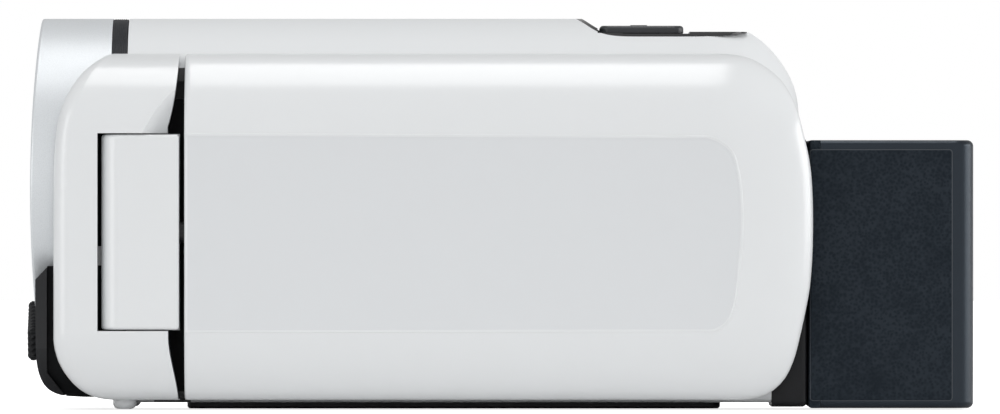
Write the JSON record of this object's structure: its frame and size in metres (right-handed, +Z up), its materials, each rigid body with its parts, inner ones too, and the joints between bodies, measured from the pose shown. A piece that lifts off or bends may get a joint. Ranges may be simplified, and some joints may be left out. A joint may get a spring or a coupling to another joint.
{
  "type": "handheld camcorder",
  "caption": "Compact handheld camcorder with a round silver lens ring, a side screen that swings out, a rear clip-on battery, a top zoom lever and a side hand strap.",
  "frame": {"origin": "mouth of the tripod socket, in the plane the camcorder rests on", "axes": "-X towards the lens, +X towards the battery, -Y out through the screen side, +Y out through the hand-strap side, +Z up"},
  "size_m": [0.1411, 0.0546, 0.0581],
  "materials": {
    "pearl_white": "semi-gloss white with a faint pearl",
    "satin_black": "fine-grained satin",
    "gloss_black": "polished",
    "satin_silver": "silver paint, satin",
    "ribbed_black": "matt, finely ribbed where it shows",
    "coated_glass": "coated, faint violet reflection",
    "screen_glass": "gloss",
    "nickel": "plated",
    "steel": "ground",
    "gilt": "gold-plated contact",
    "brass_plated": "nickel-plated brass",
    "black_screw": "black oxide",
    "board_green": "solder mask",
    "chip_black": "moulded",
    "record_grey": "satin",
    "battery_black": "fine-grained",
    "cell_wrap": "foil wrap",
    "strap_cloth": "padded woven cloth"
  },
  "bodies": {
    "casing": {"top_cover": "pearl_white", "grip_side_shell": "pearl_white", "hinge_side_frame": "pearl_white", "front_feet": "pearl_white", "bay_panel": "satin_black", "front_housing": "satin_black", "battery_plate": "satin_black", "base_plate": "satin_black", "control_plate": "gloss_black", "terminal_jacks": "nickel", "card_socket": "nickel", "power_inlet_jack": "satin_black", "battery_contacts": "gilt", "speaker": "satin_black", "microphones": "nickel", "barrel_ring": "satin_silver", "trim_band": "ribbed_black", "chin_bezel": "gloss_black", "lens_surround": "ribbed_black", "lens_tube": "ribbed_black", "front_lens": "coated_glass", "iris_unit": "ribbed_black", "guide_rods": "steel", "lens_motors": "nickel", "image_sensor_board": "board_green", "switch_boards": "board_green", "main_board": "board_green", "board_chips": "chip_black", "main_chassis": "steel", "case_screws": "black_screw", "hinge_pin": "steel", "record_button_ring": "satin_silver", "tripod_bush": "brass_plated", "strap_anchors": "steel", "hand_strap": "strap_cloth"},
    "screen": {"hinge_block": "pearl_white", "tilt_shaft": "steel", "screen_cover": "pearl_white", "screen_bezel": "gloss_black", "touch_glass": "screen_glass", "display_module": "gloss_black"},
    "cover_knob": {"lens_cover_switch": "satin_black"},
    "upper_blade": {"lens_cover_blade_upper": "ribbed_black"},
    "lower_blade": {"lens_cover_blade_lower": "ribbed_black"},
    "zoom_group": {"zoom_carriage": "ribbed_black", "zoom_lens": "coated_glass"},
    "focus_group": {"focus_carriage": "ribbed_black", "focus_lens": "coated_glass"},
    "lead_screw": {"zoom_lead_screw": "steel"},
    "zoom_rocker": {"zoom_lever": "satin_black"},
    "photo_key": {"photo_button": "satin_black"},
    "record_key": {"record_button": "record_grey"},
    "power_key": {"power_button": "satin_black"},
    "mode_key": {"mode_button": "satin_black"},
    "card_lid": {"card_door": "satin_black"},
    "inlet_lid": {"power_inlet_door": "pearl_white"},
    "battery": {"battery_case": "battery_black", "battery_front": "battery_black", "battery_cells": "cell_wrap"},
    "latch": {"battery_latch": "satin_black"}
  },
  "joints": [
    {"name": "screen_swing", "type": "hinge", "parent": "casing", "child": "screen", "pos_m": [-0.0447, -0.0228, 0.02625], "axis": [0, 0, -1], "range_deg": [0, 90]},
    {"name": "cover_knob_turn", "type": "hinge", "parent": "casing", "child": "cover_knob", "pos_m": [-0.0575, 0.0018, 0.0343], "axis": [-1, 0, 0], "range_deg": [0, 18]},
    {"name": "upper_blade_slide", "type": "slide", "parent": "casing", "child": "upper_blade", "axis": [0, 0, 1], "range_m": [-0.009, 0]},
    {"name": "lower_blade_slide", "type": "slide", "parent": "casing", "child": "lower_blade", "axis": [0, 0, 1], "range_m": [0, 0.009]},
    {"name": "zoom_group_slide", "type": "slide", "parent": "casing", "child": "zoom_group", "axis": [1, 0, 0], "range_m": [0, 0.014]},
    {"name": "lead_screw_turn", "type": "hinge", "parent": "casing", "child": "lead_screw", "pos_m": [-0.0345, 0.01063, 0.0292], "axis": [1, 0, 0], "range_deg": [0, 1681]},
    {"name": "focus_group_slide", "type": "slide", "parent": "casing", "child": "focus_group", "axis": [1, 0, 0], "range_m": [-0.0015, 0.0015]},
    {"name": "zoom_rocker_slide", "type": "slide", "parent": "casing", "child": "zoom_rocker", "axis": [0, 1, 0], "range_m": [-0.002, 0.002], "stiffness_N_per_m": 60},
    {"name": "photo_key_press", "type": "slide", "parent": "casing", "child": "photo_key", "axis": [0, 0, -1], "range_m": [0, 0.00035], "stiffness_N_per_m": 15},
    {"name": "record_key_press", "type": "slide", "parent": "casing", "child": "record_key", "axis": [-1, 0, 0], "range_m": [0, 0.0006], "stiffness_N_per_m": 25},
    {"name": "power_key_press", "type": "slide", "parent": "casing", "child": "power_key", "axis": [0, 1, 0], "range_m": [0, 0.0004], "stiffness_N_per_m": 15},
    {"name": "mode_key_press", "type": "slide", "parent": "casing", "child": "mode_key", "axis": [0, 1, 0], "range_m": [0, 0.0004], "stiffness_N_per_m": 15},
    {"name": "card_lid_swing", "type": "hinge", "parent": "casing", "child": "card_lid", "pos_m": [0.028, -0.002, 0.00045], "axis": [1, 0, 0], "range_deg": [0, 95]},
    {"name": "inlet_lid_swing", "type": "hinge", "parent": "casing", "child": "inlet_lid", "pos_m": [0.0556, 0.0195, 0.0087], "axis": [0, 1, 0], "range_deg": [0, 90]},
    {"name": "battery_slide", "type": "slide", "parent": "casing", "child": "battery", "axis": [0, 0, 1], "range_m": [0, 0.042]},
    {"name": "latch_slide", "type": "slide", "parent": "casing", "child": "latch", "axis": [0, 1, 0], "range_m": [0, 0.003]}
  ],
  "couplings": [
    {"joint": "upper_blade_slide", "follows": "cover_knob_turn", "m_per_rad": -0.0285},
    {"joint": "lower_blade_slide", "follows": "cover_knob_turn", "m_per_rad": 0.0285},
    {"joint": "lead_screw_turn", "follows": "zoom_group_slide", "rad_per_m": 2094.4}
  ]
}
